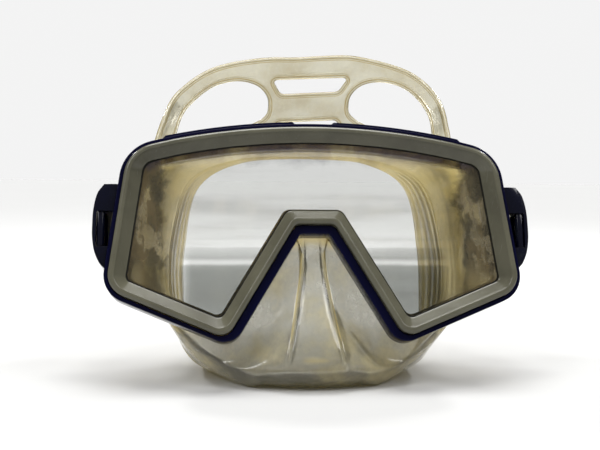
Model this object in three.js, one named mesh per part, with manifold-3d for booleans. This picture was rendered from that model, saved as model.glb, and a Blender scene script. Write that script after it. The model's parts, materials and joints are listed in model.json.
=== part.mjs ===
// Single-lens diving mask with a clear skirt, two side buckles and a clear split head strap.
// Millimetres. Every piece is drawn in the mask's own frame: x to the side, y from the lens
// back to the face, z up along the lens. The whole mask then leans back on its skirt.
import * as THREE from 'three';
import { mergeVertices } from 'three/addons/utils/BufferGeometryUtils.js';
import Module from 'manifold-3d';

const wasm = await Module();
wasm.setup();

// ---- driving dimensions ----
const LEAN = THREE.MathUtils.degToRad(16); // the mask rests on its skirt, tipped back by this
const LIFT = 67.7; // height of the mask frame's origin above the surface it stands on
const SHIFT_BACK = -20; // puts the middle of the stand face at the part's origin

const CROWN = { height: 41.95, radius: 283, lastX: 58, cornerX: 77.2 };
const SIDE = { x: 81.4, slope: -0.134 };
const BOTTOM = { z: -62.4, slope: 0.4165 };
const NOSE = { x: 7.8, slope: -0.598, top: -0.2 };
const CORNER_RADIUS = { upper: 15.5, lower: 10, nose: 6.5, bridge: 3.5 };
const INWARD = { top: 0.92, side: 1.08, bottom: 1.03, nose: 0.95, bridge: 1 };
const OUTWARD = { top: 1, side: 0.95, bottom: 1, nose: 2, bridge: 2 };

const GAP = 0.3; // assembly clearance between touching pieces
const FRAME = { land: 1.7, front: 0.1, back: 10.5, lip: -2.8, lipFront: 8.6, chamfer: 0.6 };
const RAIL = { rise: 0.9, fromX: 7.3, toX: 63.2, front: 0.6, back: 9.6, steps: 8 };
const BEZEL = { crest: -3, land: [-1.7, -2.8], inner: -6.6, seat: 2.2 };
const LENS = { front: 2.5, back: 5.7, edge: -0.6 };
const FLANGE = { edge: -0.5, neck: -3.15, neckInner: -5.4, inner: -6.3, front: 6, back: 8.3, end: 12.2 };
const SKIRT_WALL = 2.2;

// Sections of the skirt from the frame back to the face seal. Each lists [x, y, z] at the top,
// top side, upper corner, side, lower corner, bottom, nose corner, pocket side, ridge, middle.
const STATIONS = [
  [[0, 20, 39.6], [35, 20, 37.8], [64, 20, 27], [70.5, 20, 0], [71, 20, -23],
    [55, 19, -42], [32, 14, -54], [13.5, 12, -36], [5.2, 7.5, -28], [0, 7.2, -28]],
  [[0, 26, 40.2], [33.5, 26, 38.4], [60, 26, 27.5], [66.5, 26, 0], [66.5, 26, -24],
    [54, 25, -45.5], [31, 13.5, -59], [17, 8, -57.5], [10.5, 1.2, -56], [0, 1, -56]],
  [[0, 33, 40.7], [32, 33, 39], [56, 33, 28], [63, 33, 0], [62.5, 33, -25],
    [52.5, 33, -48.5], [30, 22, -63.6], [20, 19, -64.8], [11, 16, -65.4], [0, 15, -65.6]],
  [[0, 40, 41.2], [30, 40, 39.6], [52.5, 41, 28.5], [60.5, 41, 0], [60, 41, -26],
    [52, 42, -50], [34, 40, -60], [21, 38, -60.4], [10.5, 37, -60.6], [0, 37, -60.6]],
  [[0, 48, 42.6], [29, 50, 41], [49.5, 56, 29.5], [56, 64, 1], [56, 64, -24],
    [53.5, 61, -43.5], [41, 57, -54.8], [25, 52, -56.4], [12, 49, -57.2], [0, 48, -57.4]],
];

const AXIS_Y = 18.5; // the strap's swing axis and both rollers pass through this depth
const ROLLER = { x: 85, radius: 2, bore: 1.3, half: 8.4 };
const AXLE = { radius: 1, half: 13 };
const STRAP = { thick: 2, pad: 2.6, cutter: 12, end: 18.8, start: 19.1, halfWidth: 8, wrap: 2.3 };
const BUCKLE = {
  front: 3, step: 13, back: 33, clip: 18.5, tall: 17.5, halfSlot: 9,
  inner: 79, recess: 82, shoulder: 84, wall: 89.6, clear: 0.4,
};
// [x, z] round the buckle's outer side
const BUCKLE_RIM = [
  [87, 17.3], [89.3, 13], [90.7, 7], [91, 0], [90.9, -5], [90, -10], [88, -15], [86, -17.5],
];
const LEVER = { x: 86.9, y: 8.5, barrel: 1.9, bore: 1.1, bottom: -8.2, top: 5.8 };
const LEVER_PIN = { radius: 0.8, half: 12 };
const SPRING = { outer: 1.8, inner: 1.1, bottom: 6.1, top: 8.5 };

// The strap's centre line: [x, distance from the swing axis, rise of the strap in degrees]
const STRAP_LINE = [
  [0, 103, 50], [26, 102.5, 50], [44, 97.5, 50], [53, 83, 50], [57, 67, 49],
  [64, 49, 38], [75, 32, 17], [81.7, 18, 0], [81.7, 12, 0],
];
// [distance along the strap from its middle, direction across its right half there]
const STRAP_ACROSS = [
  [0, [0, 0.795, -0.607]], [40, [-0.08, 0.79, -0.61]], [78, [-0.56, 0.64, -0.52]],
  [96, [-0.4, 0.55, -0.73]], [126, [0, 0, -1]], [170, [0, 0, -1]],
];
// [distance along the strap from its middle, half of the strap's width there]
const STRAP_WIDTH = [
  [0, 30], [18, 29.6], [45, 26], [60, 23], [75, 19.5], [95, 14.5], [112, 9.5], [125, 8], [160, 8],
];
// The strap's openings: [distance along it, the upper edge across it, the lower edge across it]
const HOLE = [
  [20.5, -2, 2], [22, -8, 5.5], [28, -13.6, 10], [36, -16.1, 12], [46, -15.8, 11.8],
  [53, -14.5, 10.4], [60, -13, 9], [67, -11.3, 7.6], [74, -9.5, 6.2], [80, -7.5, 5.2],
  [86, -5.5, 4.2], [94, -3, 2.2], [97, -0.6, 0.6],
];
const SLOT = [[-19, 15.5, 17], [-14.5, 8.5, 17], [14.5, 8.5, 17], [19, 15.5, 17]];
const TAIL = { lift: 6.6, rest: 2.1, from: 8, to: 40, buckle: 7 };
const KEEPER = { along: 30, length: 5, wall: 1.4, clear: 0.6 };

const NAVY = { color: 0x10122e, roughness: 0.25, metalness: 0 };
const OLIVE = { color: 0x7d7a66, roughness: 0.35, metalness: 0 };
const CLEAR = { color: 0xcfc8a8, roughness: 0.3, metalness: 0 };
const GLASS = { color: 0xdfe6e2, roughness: 0.05, metalness: 0 };
const STEEL = { color: 0x9a9a9a, roughness: 0.3, metalness: 1 };

// ---- solids ----
function closedGeometry(positions, triangles) {
  let volume = 0;
  for (const [a, b, c] of triangles) {
    const [p, q, r] = [positions[a], positions[b], positions[c]];
    volume += new THREE.Vector3(...p).dot(new THREE.Vector3(...q).cross(new THREE.Vector3(...r)));
  }
  const index = triangles.flatMap(([a, b, c]) => (volume < 0 ? [a, c, b] : [a, b, c]));
  const geometry = new THREE.BufferGeometry();
  geometry.setAttribute('position', new THREE.Float32BufferAttribute(positions.flat(), 3));
  geometry.setIndex(index);
  return geometry;
}

function welded(source, matrix = new THREE.Matrix4()) {
  const bare = source.clone().applyMatrix4(matrix);
  bare.deleteAttribute('normal');
  bare.deleteAttribute('uv');
  const merged = mergeVertices(bare, 1e-4);
  const place = merged.getAttribute('position');
  const positions = [];
  for (let i = 0; i < place.count; i += 1) positions.push([place.getX(i), place.getY(i), place.getZ(i)]);
  const index = Array.from(merged.getIndex().array);
  const triangles = [];
  for (let i = 0; i < index.length; i += 3) {
    const corner = index.slice(i, i + 3);
    if (new Set(corner).size === 3) triangles.push(corner);
  }
  return closedGeometry(positions, triangles);
}

function solid(geometry) {
  const vertProperties = new Float32Array(geometry.getAttribute('position').array);
  const triVerts = new Uint32Array(geometry.getIndex().array);
  return new wasm.Manifold(new wasm.Mesh({ numProp: 3, vertProperties, triVerts }));
}

function geometryOf(manifold) {
  const { vertProperties, triVerts } = manifold.getMesh();
  const geometry = new THREE.BufferGeometry();
  geometry.setAttribute('position', new THREE.Float32BufferAttribute(vertProperties, 3));
  geometry.setIndex(Array.from(triVerts));
  return geometry;
}

function cuboid(x0, x1, y0, y1, z0, z1) {
  const box = new THREE.BoxGeometry(x1 - x0, y1 - y0, z1 - z0);
  return solid(welded(box.translate((x0 + x1) / 2, (y0 + y1) / 2, (z0 + z1) / 2)));
}

function drum(radius, axis, centre, from, to, sides = 24) {
  const cylinder = new THREE.CylinderGeometry(radius, radius, to - from, sides);
  const middle = (from + to) / 2;
  if (axis === 'z') cylinder.rotateX(Math.PI / 2).translate(centre[0], centre[1], middle);
  if (axis === 'x') cylinder.rotateZ(Math.PI / 2).translate(middle, centre[0], centre[1]);
  return solid(welded(cylinder));
}

function tubeAlongZ(outer, inner, x, y, from, to) {
  const profile = [[inner, from], [outer, from], [outer, to], [inner, to], [inner, from]];
  const lathe = new THREE.LatheGeometry(profile.map(([r, h]) => new THREE.Vector2(r, h)), 20);
  return solid(welded(lathe.rotateX(Math.PI / 2).translate(x, y, 0)));
}

// a flat outline pushed along one axis: 'y' takes [x, z] points and 'z' takes [x, y] points
function prism(points, axis, from, to) {
  const shape = new THREE.Shape(points.map(([a, b]) => new THREE.Vector2(a, b)));
  const geometry = new THREE.ExtrudeGeometry(shape, { depth: to - from, bevelEnabled: false });
  const turn = new THREE.Matrix4();
  if (axis === 'y') turn.set(1, 0, 0, 0, 0, 0, 1, from, 0, 1, 0, 0, 0, 0, 0, 1);
  if (axis === 'z') turn.set(1, 0, 0, 0, 0, 1, 0, 0, 0, 0, 1, from, 0, 0, 0, 1);
  return solid(welded(geometry, turn));
}

// joins loops of equal length into a closed ring; the last loop meets the first
function ring(loops) {
  const count = loops[0].length;
  const triangles = [];
  loops.forEach((_, i) => {
    const [here, next] = [i * count, ((i + 1) % loops.length) * count];
    for (let j = 0; j < count; j += 1) {
      const k = (j + 1) % count;
      triangles.push([here + j, here + k, next + k], [here + j, next + k, next + j]);
    }
  });
  return closedGeometry(loops.flat(), triangles);
}

// a sheet with two skins; rows run along it and each row is open
function slab(front, back) {
  const [rows, columns] = [front.length, front[0].length];
  const at = (side, i, j) => side * rows * columns + i * columns + j;
  const triangles = [];
  const quad = (a, b, c, d) => triangles.push([a, b, c], [a, c, d]);
  for (let i = 0; i < rows - 1; i += 1) {
    for (let j = 0; j < columns - 1; j += 1) {
      quad(at(0, i, j), at(0, i, j + 1), at(0, i + 1, j + 1), at(0, i + 1, j));
      quad(at(1, i, j), at(1, i + 1, j), at(1, i + 1, j + 1), at(1, i, j + 1));
    }
    quad(at(0, i, 0), at(0, i + 1, 0), at(1, i + 1, 0), at(1, i, 0));
    const last = columns - 1;
    quad(at(0, i, last), at(1, i, last), at(1, i + 1, last), at(0, i + 1, last));
  }
  for (let j = 0; j < columns - 1; j += 1) {
    quad(at(0, 0, j), at(1, 0, j), at(1, 0, j + 1), at(0, 0, j + 1));
    const end = rows - 1;
    quad(at(0, end, j), at(0, end, j + 1), at(1, end, j + 1), at(1, end, j));
  }
  return closedGeometry([...front.flat(), ...back.flat()], triangles);
}

// ---- the mask outline, one half from the top middle to the nose bridge ----
function edgeLine(x, z, normalX, normalZ, offset) {
  const length = Math.hypot(normalX, normalZ);
  const [nx, nz] = [normalX / length, normalZ / length];
  return { x: x + nx * offset, z: z + nz * offset, dx: -nz, dz: nx };
}

function meet(a, b) {
  const det = a.dx * b.dz - a.dz * b.dx;
  const t = ((b.x - a.x) * b.dz - (b.z - a.z) * b.dx) / det;
  return [a.x + a.dx * t, a.z + a.dz * t];
}

function fillet(before, corner, after, radius, steps) {
  const towards = (p) => {
    const d = [p[0] - corner[0], p[1] - corner[1]];
    const length = Math.hypot(...d);
    return [d[0] / length, d[1] / length];
  };
  const [a, b] = [towards(before), towards(after)];
  const half = Math.acos(a[0] * b[0] + a[1] * b[1]) / 2;
  const reach = radius / Math.tan(half);
  const middle = [a[0] + b[0], a[1] + b[1]];
  const scale = radius / Math.sin(half) / Math.hypot(...middle);
  const centre = [corner[0] + middle[0] * scale, corner[1] + middle[1] * scale];
  const start = [corner[0] + a[0] * reach - centre[0], corner[1] + a[1] * reach - centre[1]];
  const end = [corner[0] + b[0] * reach - centre[0], corner[1] + b[1] * reach - centre[1]];
  let turn = Math.atan2(end[1], end[0]) - Math.atan2(start[1], start[0]);
  turn = Math.atan2(Math.sin(turn), Math.cos(turn));
  return Array.from({ length: steps + 1 }, (_, i) => {
    const angle = Math.atan2(start[1], start[0]) + (turn * i) / steps;
    return [centre[0] + Math.cos(angle) * radius, centre[1] + Math.sin(angle) * radius];
  });
}

function between(a, b, count) {
  return Array.from({ length: count }, (_, i) => {
    const t = (i + 1) / (count + 1);
    return [a[0] + (b[0] - a[0]) * t, a[1] + (b[1] - a[1]) * t];
  });
}

function crownHeight(x, offset) {
  return CROWN.height - CROWN.radius + Math.sqrt((CROWN.radius + offset) ** 2 - x * x);
}

// KEYS holds the place of each named point along the half outline
const KEYS = {};
function halfOutline(offset) {
  const factor = offset < 0 ? INWARD : OUTWARD;
  const top = offset * factor.top;
  const side = edgeLine(SIDE.x, 0, 1, -SIDE.slope, offset * factor.side);
  const bottom = edgeLine(0, BOTTOM.z, BOTTOM.slope, -1, offset * factor.bottom);
  const nose = edgeLine(NOSE.x, 0, -1, NOSE.slope, offset * factor.nose);
  const bridge = edgeLine(0, NOSE.top, 0, -1, offset * factor.bridge);
  const crown = [0, 12, 24, 36, 48, CROWN.lastX].map((x) => [x, crownHeight(x, top)]);
  const last = crown.at(-1);
  const chord = [CROWN.cornerX - last[0], crownHeight(CROWN.cornerX, top) - last[1]];
  const upper = meet({ x: last[0], z: last[1], dx: chord[0], dz: chord[1] }, side);
  const lower = meet(side, bottom);
  const inner = meet(bottom, nose);
  const saddle = meet(nose, bridge);
  const middle = [0, bridge.z];
  const round = (radius, sign) => Math.max(radius + sign * offset, 1);
  const parts = [
    ['top', crown],
    ['upper', fillet(last, upper, lower, round(CORNER_RADIUS.upper, 1), 6)],
    ['lower', fillet(upper, lower, inner, round(CORNER_RADIUS.lower, 1), 5)],
    ['nose', fillet(lower, inner, saddle, round(CORNER_RADIUS.nose, 1), 5)],
    ['bridge', fillet(inner, saddle, middle, round(CORNER_RADIUS.bridge, -1), 4)],
  ];
  const points = [];
  parts.forEach(([name, piece], i) => {
    if (i > 1) {
      const gap = between(points.at(-1), piece[0], 3);
      KEYS[`${name}Edge`] = points.length + 1;
      points.push(...gap);
    }
    KEYS[name] = points.length + Math.floor(piece.length / 2);
    points.push(...piece);
  });
  KEYS.end = points.length;
  return [...points, middle];
}

function mirrorLoop(half, flip) {
  return [...half, ...half.slice(1, -1).reverse().map(flip)];
}

function outline(offset) {
  return mirrorLoop(halfOutline(offset), ([x, z]) => [-x, z]);
}

function ringFromProfile(profile) {
  return ring(profile.map(([offset, y]) => outline(offset).map(([x, z]) => [x, y, z])));
}

// ---- lens, bezel and main frame ----
function lens() {
  return prism(outline(LENS.edge), 'y', LENS.front, LENS.back);
}

function bezelRing() {
  const [landOuter, landInner] = BEZEL.land;
  return solid(ringFromProfile([
    [-GAP, BEZEL.seat],
    [-GAP, BEZEL.crest + 1.4],
    [-0.8, BEZEL.crest + 0.4],
    [landOuter, BEZEL.crest],
    [landInner, BEZEL.crest],
    [-4.2, BEZEL.crest + 1.3],
    [BEZEL.inner, BEZEL.seat - 0.8],
    [BEZEL.inner, BEZEL.seat],
  ]));
}

function browRail() {
  const rows = (y) => Array.from({ length: RAIL.steps + 1 }, (_, i) => {
    const x = RAIL.fromX + ((RAIL.toX - RAIL.fromX) * i) / RAIL.steps;
    const edge = i === 0 || i === RAIL.steps ? 0.25 : 1;
    const base = crownHeight(x, FRAME.land);
    return [[x, y, base - 0.5], [x, y, base + RAIL.rise * edge]];
  });
  return solid(slab(rows(RAIL.front), rows(RAIL.back)));
}

function mainFrame() {
  const { land, front, back, lip, lipFront, chamfer } = FRAME;
  const body = solid(ringFromProfile([
    [land, front + chamfer],
    [land, back],
    [lip, back],
    [lip, lipFront],
    [0, lipFront],
    [0, front],
    [land - chamfer, front],
  ]));
  const rail = browRail();
  return body.add(rail).add(mirrored(rail));
}

function mirrored(manifold) {
  return solid(welded(geometryOf(manifold), new THREE.Matrix4().makeScale(-1, 1, 1)));
}

// ---- skirt: a lofted shell behind the lens with a nose pocket, on a flange ring ----
function stationPlaces() {
  const { top, upper, lowerEdge, lower, noseEdge, nose, bridgeEdge, bridge, end } = KEYS;
  return [0, top, upper, lowerEdge + 1, lower, noseEdge + 1, nose, bridgeEdge + 1, bridge, end];
}

function stationLoop(keys) {
  const places = stationPlaces();
  const curve = new THREE.CatmullRomCurve3([
    new THREE.Vector3(-keys[1][0], keys[1][1], keys[1][2]),
    ...keys.map((p) => new THREE.Vector3(...p)),
    new THREE.Vector3(-keys[8][0], keys[8][1], keys[8][2]),
  ]);
  const spans = keys.length + 1;
  const half = [];
  for (let i = 0; i <= places.at(-1); i += 1) {
    const k = Math.min(places.findIndex((p) => p > i), places.length - 1);
    const [from, to] = k < 0 ? [places.at(-2), places.at(-1)] : [places[k - 1], places[k]];
    const step = k < 0 ? places.length - 2 : k - 1;
    const t = (1 + step + (i - from) / (to - from)) / spans;
    half.push(curve.getPoint(t).toArray());
  }
  half[0][0] = 0;
  half.at(-1)[0] = 0;
  return mirrorLoop(half, ([x, y, z]) => [-x, y, z]);
}

function neckLoop(main, nose, yMain, yNose) {
  const wide = halfOutline(main);
  const notch = halfOutline(nose);
  const [from, to] = [KEYS.noseEdge + 2, KEYS.bridgeEdge];
  const half = wide.map(([x, z], i) => {
    const t = THREE.MathUtils.smoothstep(i, from, to);
    return [x + (notch[i][0] - x) * t, yMain + (yNose - yMain) * t, z + (notch[i][1] - z) * t];
  });
  return mirrorLoop(half, ([x, y, z]) => [-x, y, z]);
}

function innerSkin(loops) {
  const count = loops[0].length;
  const at = (i, j) => new THREE.Vector3(...loops[i][(j + count) % count]);
  return loops.map((loop, i) => loop.map((point, j) => {
    const around = at(i, j + 1).sub(at(i, j - 1));
    const along = at(Math.min(i + 1, loops.length - 1), j).sub(at(Math.max(i - 1, 0), j));
    const normal = along.cross(around).normalize();
    return new THREE.Vector3(...point).addScaledVector(normal, SKIRT_WALL).toArray();
  }));
}

function skirt() {
  const { edge, neck, neckInner, inner, front, back, end } = FLANGE;
  const seat = solid(ringFromProfile([
    [edge, front],
    [edge, back],
    [neck, back],
    [neck, end],
    [neckInner, end],
    [inner, front],
  ]));
  const outer = [
    neckLoop(-4.2, -4.2, 11.8, 11.8),
    neckLoop(-5.2, 1.9, 15, 12.4),
    ...STATIONS.map(stationLoop),
  ];
  const inside = innerSkin(outer);
  const shell = solid(ring([...outer, ...inside.reverse()]));
  const floor = cuboid(-150, 150, -150, 150, -60, 0);
  const stand = new THREE.Matrix4().makeRotationX(LEAN);
  const slope = solid(welded(geometryOf(floor), stand.multiply(shiftDown())));
  return shell.add(seat).subtract(slope);
}

function shiftDown() {
  return new THREE.Matrix4().makeTranslation(0, 0, -LIFT);
}

// ---- buckles; every builder here makes the right-hand piece ----
function buckleBody() {
  const { front, step, back, clip, tall, halfSlot, inner, recess, shoulder, wall, clear } = BUCKLE;
  const seat = (z) => [SIDE.x + SIDE.slope * z + FRAME.land + clear, z];
  const nose = prism([seat(-tall), seat(tall), ...BUCKLE_RIM], 'y', front, step + 0.5);
  const arm = prism([[inner, -tall], [inner, tall], [shoulder, tall], ...BUCKLE_RIM], 'y', step, back);
  const round = drum(clip, 'x', [AXIS_Y, 0], inner - 9, wall + 10, 40);
  const slot = cuboid(inner + 1.4, wall, step - 1, back + 27, -halfSlot, halfSlot);
  const window = cuboid(recess, wall, -1, step, -halfSlot + 0.4, halfSlot);
  const axleEnd = AXLE.half + GAP;
  const pinEnd = LEVER_PIN.half + GAP;
  const axleBore = drum(ROLLER.bore, 'z', [ROLLER.x, AXIS_Y], -axleEnd, axleEnd, 16);
  const pinBore = drum(LEVER.bore, 'z', [LEVER.x, LEVER.y], -pinEnd, pinEnd, 16);
  const body = nose.add(arm.intersect(round));
  return body.subtract(slot).subtract(window).subtract(axleBore).subtract(pinBore);
}

function strapRoller() {
  return tubeAlongZ(ROLLER.radius, ROLLER.bore, ROLLER.x, AXIS_Y, -ROLLER.half, ROLLER.half);
}

function rollerAxle() {
  return drum(AXLE.radius, 'z', [ROLLER.x, AXIS_Y], -AXLE.half, AXLE.half, 16);
}

function lockLever() {
  const { x, y, barrel, bore, bottom, top } = LEVER;
  const tab = prism([[x - 0.3, y], [x - 0.3, 4.2], [x, 3.6], [x + 1.9, 3.6], [x + 2.3, 4.2], [x + 1.8, y]],
    'z', bottom, top);
  const tip = prism([[x - 1.1, y], [x + 0.8, y], [x + 0.6, 13.3], [x - 0.2, 13.9], [x - 1, 13.3]],
    'z', bottom, top);
  const hub = drum(barrel, 'z', [x, y], bottom, top, 20);
  return hub.add(tab).add(tip).subtract(drum(bore, 'z', [x, y], bottom - 1, top + 1, 16));
}

function leverPin() {
  return drum(LEVER_PIN.radius, 'z', [LEVER.x, LEVER.y], -LEVER_PIN.half, LEVER_PIN.half, 12);
}

function leverSpring() {
  const coil = tubeAlongZ(SPRING.outer, SPRING.inner, LEVER.x, LEVER.y, SPRING.bottom, SPRING.top);
  const [x, y] = [LEVER.x + SPRING.outer, LEVER.y];
  return coil.add(cuboid(x - 0.5, x, y, y + 3.6, SPRING.top - 0.5, SPRING.top));
}

// the strap passes inside the roller, round its front and back along the outside
function strapEnd() {
  const [small, large] = [STRAP.wrap, STRAP.wrap + STRAP.thick];
  const arc = (radius, from, to) => Array.from({ length: 13 }, (_, i) => {
    const angle = from + ((to - from) * i) / 12;
    return [ROLLER.x + Math.cos(angle) * radius, AXIS_Y + Math.sin(angle) * radius];
  });
  const run = AXIS_Y + 25;
  const points = [
    [ROLLER.x + large, run],
    [ROLLER.x + small, run],
    ...arc(small, 0, -Math.PI),
    [ROLLER.x - small, run],
    [ROLLER.x - large, run],
    ...arc(large, -Math.PI, 0),
  ];
  const band = prism(points, 'z', -STRAP.halfWidth, STRAP.halfWidth);
  const cut = cuboid(70, 100, AXIS_Y + 12, AXIS_Y + 40, -40, 40);
  const outside = cut.subtract(drum(STRAP.end, 'x', [AXIS_Y, 0], 60, 110, 60));
  return band.subtract(outside);
}

// ---- strap: a split head strap, symmetric about its middle ----
function strapCurve() {
  const point = ([x, reach, rise], side) => {
    const angle = THREE.MathUtils.degToRad(rise);
    return new THREE.Vector3(side * x, AXIS_Y + reach * Math.cos(angle), reach * Math.sin(angle));
  };
  const right = STRAP_LINE.map((p) => point(p, 1));
  const left = STRAP_LINE.slice(1).reverse().map((p) => point(p, -1));
  const curve = new THREE.CatmullRomCurve3([...left, ...right], false, 'centripetal');
  curve.arcLengthDivisions = 800;
  return curve;
}

const CURVE = strapCurve();
const HALF_LENGTH = CURVE.getLength() / 2;

function acrossDirection(along) {
  const far = Math.abs(along);
  const i = Math.max(STRAP_ACROSS.findIndex(([key]) => key >= far), 1);
  const [[start, before], [end, after]] = [STRAP_ACROSS[i - 1], STRAP_ACROSS[i]];
  const t = THREE.MathUtils.smoothstep(far, start, end);
  const direction = new THREE.Vector3(...before).lerp(new THREE.Vector3(...after), t);
  direction.x *= Math.sign(along);
  return direction;
}

function strapFrame(along) {
  const t = THREE.MathUtils.clamp((along + HALF_LENGTH) / (2 * HALF_LENGTH), 0, 1);
  const centre = CURVE.getPointAt(t);
  const tangent = CURVE.getTangentAt(t);
  const width = acrossDirection(along);
  width.addScaledVector(tangent, -width.dot(tangent)).normalize();
  const normal = new THREE.Vector3().crossVectors(tangent, width);
  return { centre, tangent, normal, width };
}

function strapPoint(along, across, out) {
  const { centre, normal, width } = strapFrame(along);
  return centre.clone().addScaledVector(width, across).addScaledVector(normal, out).toArray();
}

function lookUp(table, at) {
  const i = Math.max(table.findIndex(([key]) => key >= at), 1);
  const [[x0, y0], [x1, y1]] = [table[i - 1], table[i]];
  return y0 + ((y1 - y0) * (at - x0)) / (x1 - x0);
}

// a slab that follows the strap; rows hold [distance along, one edge across, the other edge]
function strapSlab(rows, thick, lift = () => 0) {
  const skin = (level) => rows.map(([along, low, high]) => [0, 0.25, 0.5, 0.75, 1].map((part) => (
    strapPoint(along, low + (high - low) * part, lift(along) + level))));
  return solid(slab(skin(thick / 2), skin(-thick / 2)));
}

function strapRows(from, to, steps) {
  return Array.from({ length: steps + 1 }, (_, i) => {
    const along = from + ((to - from) * i) / steps;
    const half = lookUp(STRAP_WIDTH, Math.abs(along));
    return [along, -half, half];
  });
}

function strapRear() {
  let sheet = strapSlab(strapRows(-HALF_LENGTH, HALF_LENGTH, 52), STRAP.pad);
  const openings = [HOLE, HOLE.map(([a, low, high]) => [-a, low, high]).reverse(),
    SLOT, SLOT.map(([a, low, high]) => [a, -high, -low])];
  for (const opening of openings) sheet = sheet.subtract(strapSlab(opening, STRAP.cutter));
  for (const side of [1, -1]) sheet = sheet.add(strapTail(side));
  return sheet.subtract(drum(STRAP.start, 'x', [AXIS_Y, 0], -110, 110, 60));
}

// the free end that comes back out of the buckle and lies along the outside of the strap
function strapTail(side) {
  const [start, end] = [HALF_LENGTH - TAIL.to, HALF_LENGTH];
  const lift = (along) => {
    const t = THREE.MathUtils.smoothstep(Math.abs(along), start + TAIL.from, end - TAIL.buckle);
    return TAIL.rest + (TAIL.lift - TAIL.rest) * t;
  };
  return strapSlab(strapRows(side * start, side * end, 12), STRAP.thick, lift);
}

function strapKeeper(side) {
  const along = side * (HALF_LENGTH - KEEPER.along);
  const { centre, tangent, normal, width } = strapFrame(along);
  const half = lookUp(STRAP_WIDTH, Math.abs(along)) + KEEPER.clear + 0.3;
  const [low, high] = [-1.3 - KEEPER.clear, TAIL.rest + 1 + KEEPER.clear + 0.9];
  const { wall, length } = KEEPER;
  const outer = cuboid(-half - wall, half + wall, low - wall, high + wall, -length / 2, length / 2);
  const hole = cuboid(-half, half, low, high, -length, length);
  const basis = new THREE.Matrix4().makeBasis(width, normal, tangent).setPosition(centre);
  return solid(welded(geometryOf(outer.subtract(hole)), basis));
}

// ---- assembly ----
function addPiece(group, name, manifold, finish) {
  const mesh = new THREE.Mesh(geometryOf(manifold), new THREE.MeshStandardMaterial(finish));
  mesh.name = name;
  group.add(mesh);
}

const mask = new THREE.Group();
mask.rotation.x = -LEAN;
mask.position.set(0, SHIFT_BACK, LIFT);
addPiece(mask, 'main_frame', mainFrame(), NAVY);
addPiece(mask, 'bezel_ring', bezelRing(), OLIVE);
addPiece(mask, 'lens', lens(), GLASS);
addPiece(mask, 'skirt', skirt(), CLEAR);
addPiece(mask, 'strap_rear', strapRear(), CLEAR);

const SIDE_PIECES = [
  ['buckle_body', buckleBody, NAVY],
  ['strap_roller', strapRoller, NAVY],
  ['roller_axle', rollerAxle, STEEL],
  ['lock_lever', lockLever, NAVY],
  ['lever_pin', leverPin, STEEL],
  ['lever_spring', leverSpring, STEEL],
  ['strap_end', strapEnd, CLEAR],
];
for (const [name, build, finish] of SIDE_PIECES) {
  const piece = build();
  addPiece(mask, `${name}_right`, piece, finish);
  addPiece(mask, `${name}_left`, mirrored(piece), finish);
}
addPiece(mask, 'strap_keeper_right', strapKeeper(1), NAVY);
addPiece(mask, 'strap_keeper_left', strapKeeper(-1), NAVY);

const part = new THREE.Group();
part.add(mask);
part.updateMatrixWorld(true);

export default part;
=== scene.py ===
import json
import math

import bmesh
import bpy
import numpy as np
from mathutils import Matrix, Vector, noise


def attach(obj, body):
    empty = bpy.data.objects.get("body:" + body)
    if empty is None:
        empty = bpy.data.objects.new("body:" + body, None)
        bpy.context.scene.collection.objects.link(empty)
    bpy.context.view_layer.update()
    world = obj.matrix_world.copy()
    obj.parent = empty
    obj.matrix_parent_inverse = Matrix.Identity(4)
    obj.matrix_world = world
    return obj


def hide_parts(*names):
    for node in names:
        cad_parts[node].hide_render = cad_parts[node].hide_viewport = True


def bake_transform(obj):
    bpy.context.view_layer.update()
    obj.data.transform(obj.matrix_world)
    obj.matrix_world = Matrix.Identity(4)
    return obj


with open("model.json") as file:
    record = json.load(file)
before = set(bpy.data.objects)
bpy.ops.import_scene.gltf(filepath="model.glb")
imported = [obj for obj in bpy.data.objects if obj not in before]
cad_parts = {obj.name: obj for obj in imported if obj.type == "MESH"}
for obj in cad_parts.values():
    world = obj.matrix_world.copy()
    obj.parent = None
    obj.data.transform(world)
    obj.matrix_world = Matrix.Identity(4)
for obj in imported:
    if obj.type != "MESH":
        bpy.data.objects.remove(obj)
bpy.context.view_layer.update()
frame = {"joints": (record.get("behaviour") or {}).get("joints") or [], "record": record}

# Places. Shapes are drawn in the mask's own frame, in millimetres: x to the side, y from
# the lens back to the face, z up along the lens. TO_ROW leans that frame back as the CAD
# part is leaned, and turns it into metres.
MM = 0.001
MOUNTS = {m["name"]: m for m in frame["record"]["mounts"]}
JOINTS = {j["name"]: j for j in frame["joints"]}
LENS_NORMAL = MOUNTS["bezel_front"]["axis"]
LEAN = math.atan2(LENS_NORMAL[2], -LENS_NORMAL[1])
AXIS_Y = 18.5  # how far the strap rollers' axis lies behind the frame's front
TURN = Matrix.Rotation(-LEAN, 4, "X")
ORIGIN = Vector(JOINTS["strap_swing"]["pos_m"]) - TURN @ Vector((0, AXIS_Y * MM, 0))
TO_ROW = Matrix.Translation(ORIGIN) @ TURN @ Matrix.Scale(MM, 4)

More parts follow.
